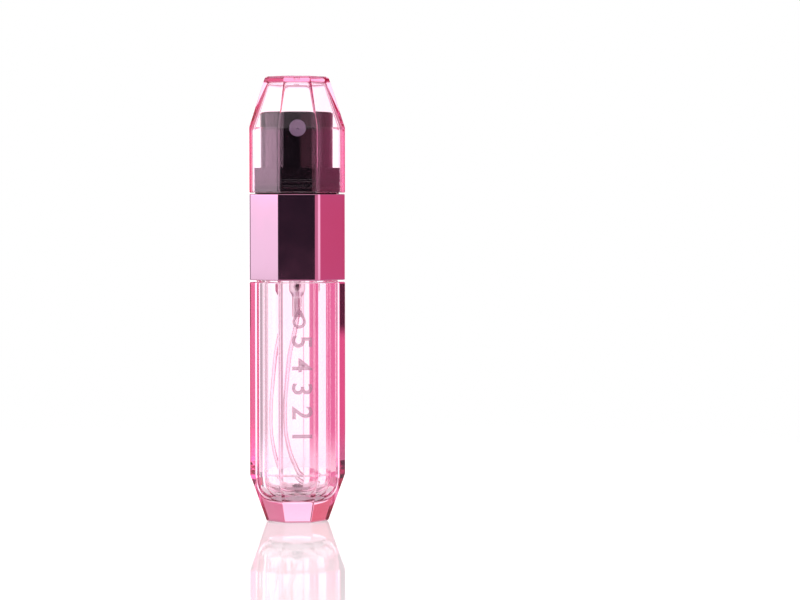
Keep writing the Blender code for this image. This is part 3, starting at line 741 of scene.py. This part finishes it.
def build_floor():
    """Pale glossy floor that melts into the surround."""
    bpy.ops.mesh.primitive_circle_add(vertices=96, radius=FLOOR_RADIUS, fill_type="NGON",
                                      location=(0, 0, -FLOOR_DROP))
    floor = bpy.context.object
    floor.name = "floor"
    material, shader = base_material("floor_white_gloss")
    shader.inputs["Base Color"].default_value = (0.52, 0.52, 0.52, 1)
    shader.inputs["Roughness"].default_value = 0.04
    shader.inputs["IOR"].default_value = 1.5
    shader.inputs["Emission Color"].default_value = (1, 1, 1, 1)
    shader.inputs["Emission Strength"].default_value = 0.40
    coords = add_node(material, "ShaderNodeTexCoord")
    distance = add_node(material, "ShaderNodeVectorMath")
    distance.operation = "LENGTH"
    fade = add_node(material, "ShaderNodeMapRange", From_Min=FLOOR_FADE, From_Max=FLOOR_RADIUS,
                    To_Min=1.0, To_Max=0.0)
    fade.interpolation_type = "SMOOTHSTEP"
    links = material.node_tree.links
    links.new(coords.outputs["Object"], distance.inputs[0])
    links.new(distance.outputs["Value"], fade.inputs["Value"])
    links.new(fade.outputs["Result"], shader.inputs["Alpha"])
    floor.data.materials.append(material)


def build_world():
    """Studio round the bottle: white to the camera, with soft boxes and dark gaps to its surfaces."""
    world = bpy.data.worlds.new("studio")
    bpy.context.scene.world = world
    world.use_nodes = True
    tree = world.node_tree
    tree.nodes.clear()
    coords = tree.nodes.new("ShaderNodeTexCoord")
    parts = tree.nodes.new("ShaderNodeSeparateXYZ")
    tree.links.new(coords.outputs["Generated"], parts.inputs[0])
    bearing = tree.nodes.new("ShaderNodeMath")
    bearing.operation = "ARCTAN2"
    tree.links.new(parts.outputs["X"], bearing.inputs[0])
    tree.links.new(parts.outputs["Y"], bearing.inputs[1])
    color = ramp_of(tree, bearing.outputs[0], GROUND)
    for start, end, stops in LAYERS:
        blend = tree.nodes.new("ShaderNodeMapRange")
        blend.interpolation_type = "SMOOTHSTEP"
        blend.inputs["From Min"].default_value = start
        blend.inputs["From Max"].default_value = end
        tree.links.new(parts.outputs["Z"], blend.inputs["Value"])
        color = mix_colors(tree, blend.outputs["Result"], color, ramp_of(tree, bearing.outputs[0], stops))
    path = tree.nodes.new("ShaderNodeLightPath")
    white = tree.nodes.new("ShaderNodeRGB")
    white.outputs[0].default_value = (1 / BRIGHTNESS, 1 / BRIGHTNESS, 1 / BRIGHTNESS, 1)
    color = mix_colors(tree, path.outputs["Is Camera Ray"], color, white.outputs[0])
    background = tree.nodes.new("ShaderNodeBackground")
    background.inputs["Strength"].default_value = BRIGHTNESS
    tree.links.new(color, background.inputs["Color"])
    output = tree.nodes.new("ShaderNodeOutputWorld")
    tree.links.new(background.outputs["Background"], output.inputs["Surface"])


def ramp_of(tree, value, stops):
    """Colours round the full circle; stops are (bearing in degrees, colour)."""
    spread = tree.nodes.new("ShaderNodeMapRange")
    spread.inputs["From Min"].default_value = -math.pi
    spread.inputs["From Max"].default_value = math.pi
    tree.links.new(value, spread.inputs["Value"])
    ramp = tree.nodes.new("ShaderNodeValToRGB")
    elements = ramp.color_ramp.elements
    for index, (spot, color) in enumerate(stops):
        position = spot / 360 + 0.5
        element = elements[index] if index < 2 else elements.new(position)
        element.position = position
        element.color = (*(channel / BRIGHTNESS for channel in color), 1)
    tree.links.new(spread.outputs["Result"], ramp.inputs["Fac"])
    return ramp.outputs["Color"]


def mix_colors(tree, factor, first, second):
    """Blend two colours by a factor."""
    node = tree.nodes.new("ShaderNodeMix")
    node.data_type = "RGBA"
    tree.links.new(factor, node.inputs[0])
    tree.links.new(first, node.inputs[6])
    tree.links.new(second, node.inputs[7])
    return node.outputs[2]


def build_camera():
    """Camera a little left of the front, aimed right of the bottle as in a wider picture."""
    camera = bpy.data.objects.new("camera", bpy.data.cameras.new("camera"))
    bpy.context.scene.collection.objects.link(camera)
    camera.data.lens = CAMERA_LENS
    camera.data.clip_start = 0.01
    camera.data.clip_end = 20
    camera.location = (CAMERA_DISTANCE * math.sin(CAMERA_AZIMUTH),
                       -CAMERA_DISTANCE * math.cos(CAMERA_AZIMUTH), CAMERA_HEIGHT)
    camera.rotation_euler = (math.pi / 2 + CAMERA_PITCH, 0, CAMERA_AZIMUTH - CAMERA_PAN)
    bpy.context.scene.camera = camera


def set_light_paths():
    """Enough bounces for nested clear walls, and plain display of colour."""
    scene = bpy.context.scene
    scene.cycles.max_bounces = MAX_BOUNCES
    scene.cycles.transmission_bounces = MAX_BOUNCES
    scene.cycles.glossy_bounces = MAX_BOUNCES
    scene.view_settings.view_transform = "Standard"


build_shell()
build_grip_ring()
build_vial()
build_fill_valve()
build_pump_housing()
build_dip_tube()
build_band()
build_collar()
build_button()
build_nozzle()
build_cap()
build_print_scale()
build_print_drop()
dress_hidden_nodes()
build_floor()
build_world()
build_camera()
set_light_paths()
